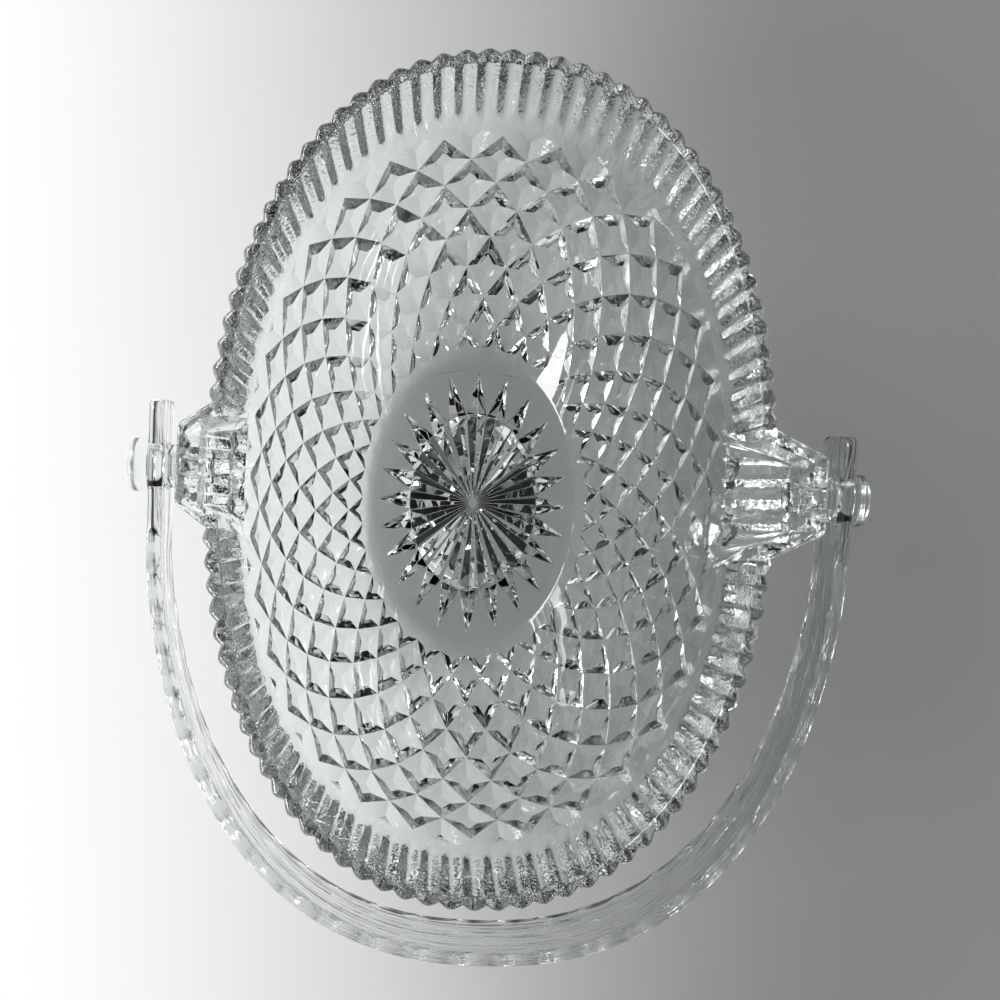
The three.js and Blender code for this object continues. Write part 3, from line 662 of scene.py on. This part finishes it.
def make_bowl():
    """The bowl with its two lugs, one closed skin."""
    skin = Skin()
    top_ring, foot = press_lattice(skin)
    outline = press_star(skin)
    close_base(skin, outline, foot)
    faceted = len(skin.faces)
    press_inside(skin, press_ribs(skin, top_ring))
    bowl = skin.piece("bowl_glass")

    def soften(bm):
        """Narrow rounded lines along the valleys and ridges, as a worn mould leaves them."""
        bm.faces.ensure_lookup_table()
        for face in bm.faces:
            face.smooth = face.index >= faceted
        bmesh.ops.recalc_face_normals(bm, faces=bm.faces)
        lines = [edge for edge in bm.edges
                 if len(edge.link_faces) == 2 and edge.calc_face_angle() > math.radians(10)
                 and not any(face.smooth for face in edge.link_faces)]
        bmesh.ops.bevel(bm, geom=lines, offset=0.2 * MM, segments=2, profile=0.5, affect="EDGES",
                        clamp_overlap=True)

    shape_mesh(bowl, soften)
    for _, side, face in LUGS:
        carve(bowl, make_lug(face, side), "UNION")
        carve(bowl, make_pocket(face, side), "DIFFERENCE")
        carve(bowl, drill(SHANK_BORE, -12, 4, face, side), "DIFFERENCE")
    return bowl


def make_handle():
    """The bent strip: full-round edges cut with thumbprints, plain tails with an eye for each pin."""
    half_thick, half_wide, half_wide_middle = 1.7, 8.5, 11.75
    half_span, reach, power, tail = 79.95, 112.7, 2.3, 15.0
    flare, flare_start, flare_end = 0.7, 7.0, 27.0
    prints, pitch, depth, neck = 27, 10.6, 1.3, 0.3
    end_round, tail_start, nudge = 3.0, 3.6, 0.4
    angle = np.linspace(0, np.pi, 2401)
    c = np.cos(angle)
    y = reach * np.sin(angle) ** (2 / power)
    bend = np.clip((y - flare_start) / (flare_end - flare_start), 0, 1)
    x = -(half_span + flare * bend * bend * (3 - 2 * bend)) * np.sign(c) * np.abs(c) ** (2 / power)
    x = np.concatenate([[-half_span], x, [half_span]])
    y = np.concatenate([[-tail], y, [-tail]])
    length = np.concatenate([[0], np.cumsum(np.hypot(np.diff(x), np.diff(y)))])
    total = length[-1]
    cut = prints * pitch / 2
    ends = [0.0, 0.15, 0.45, 0.9, 1.5, 2.2, 3.0]
    stations = ends + list(np.linspace(tail_start, total / 2 - cut, 16))
    stations += list(np.linspace(total / 2 - cut, total / 2 + cut, prints * 12 + 1))[1:]
    stations += list(np.linspace(total / 2 + cut, total - tail_start, 16))[1:]
    stations += [total - e for e in reversed(ends)]

    def at(s):
        return np.array([np.interp(s, length, x), np.interp(s, length, y)])

    skin = Skin()
    rings = []
    for s in stations:
        here = at(s)
        along = at(s + nudge) - at(s - nudge)
        along = along / np.linalg.norm(along)
        out = np.array([-along[1], along[0]])
        from_middle = s - total / 2
        taken = 0.0
        if abs(from_middle) < cut:
            off = ((from_middle + cut) / pitch) % 1 * 2 - 1
            fade = min(1.0, (cut - abs(from_middle)) / (pitch / 3))
            taken = neck * fade + (depth - neck) * (1 - off * off)
        to_end = min(s, total - s)
        middling = math.cos(min(1.0, abs(from_middle) / cut) * math.pi / 2)
        edge = half_wide + (half_wide_middle - half_wide) * middling - round_over(to_end, end_round)
        section = []
        for a in np.linspace(0, math.pi, 13):
            w = edge - half_thick + half_thick * math.sin(a)
            section.append((half_thick * math.cos(a), min(w, edge - taken)))
        section += [(-t, -w) for t, w in section]
        rings.append([skin.add(here[0] + out[0] * t, -(here[1] + out[1] * t), w) for t, w in section])
    for a, b in zip(rings, rings[1:]):
        skin.join(a, b)
    skin.faces += [tuple(rings[0]), tuple(rings[-1])]
    handle = skin.piece("handle_strip")
    turn_faces_out(handle)
    for side in (-1, 1):
        eye = drill(EYE_RADIUS, -6, 6, half_span, side)
        eye.data.transform(Matrix.Translation((0, 0, -PIVOT_HEIGHT * MM)))
        carve(handle, eye, "DIFFERENCE")
    droop = Matrix.Rotation(math.radians(HANDLE_DROOP), 4, "X")
    handle.data.transform(Matrix.Translation((HANDLE_SHIFT * MM, 0, PIVOT_HEIGHT * MM)) @ droop)
    return handle


def dress(piece, material, node, body):
    """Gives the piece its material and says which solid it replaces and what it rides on."""
    piece.data.materials.clear()
    piece.data.materials.append(material)
    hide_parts(node)
    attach(piece, body)


bpy.context.scene.view_settings.view_transform = "Standard"
make_camera()
make_table()
light_room()

GLASS = pressed_soda_lime_glass()
SHEET = polished_acrylic("polished_sheet_acrylic", "#f0f3f3", 500.0)
MOULDED = polished_acrylic("moulded_acrylic", "#f8fafa", 25.0)

bowl = make_bowl()
finish_mesh(bowl, 50)
dress(bowl, GLASS, "bowl", "basket")
handle = make_handle()
finish_mesh(handle, 40)
dress(handle, SHEET, "bail_handle", "handle")

# Profiles of the turned pieces: radius, and distance out from the lug's face.
PIN = ([(0, -6.7), (2.1, -6.7), (SHANK_RADIUS, -6.4), (SHANK_RADIUS, 3.0), (SHOULDER_RADIUS, 3.0),
        (SHOULDER_RADIUS, 6.7)]
       + rounded_corner(5.4, 7.5, 0.8, -90, 0) + rounded_corner(4.6, 10.1, 1.6, 0, 90, 8) + [(0, 11.7)])
WASHER = ([(SHANK_BORE, 0.3)] + rounded_corner(4.6, 0.7, 0.4, -90, 0) + rounded_corner(4.6, 2.3, 0.4, 0, 90)
          + [(SHANK_BORE, 2.7), (SHANK_BORE, 0.3)])
CAP = ([(0, -7.7)] + rounded_corner(3.0, -7.0, 0.7, -90, 0)
       + [(CAP_RADIUS, -5.5), (SHANK_BORE, -5.5), (SHANK_BORE, -7.0), (0, -7.0)])
for hand, side, face in LUGS:
    for name, node, profile in (("pin_", "pivot_pin_", PIN), ("washer_", "spacer_washer_", WASHER),
                                ("cap_", "retaining_cap_", CAP)):
        piece = turned(name + hand, profile, face, side)
        finish_mesh(piece, 30)
        dress(piece, MOULDED, node + hand, "basket")
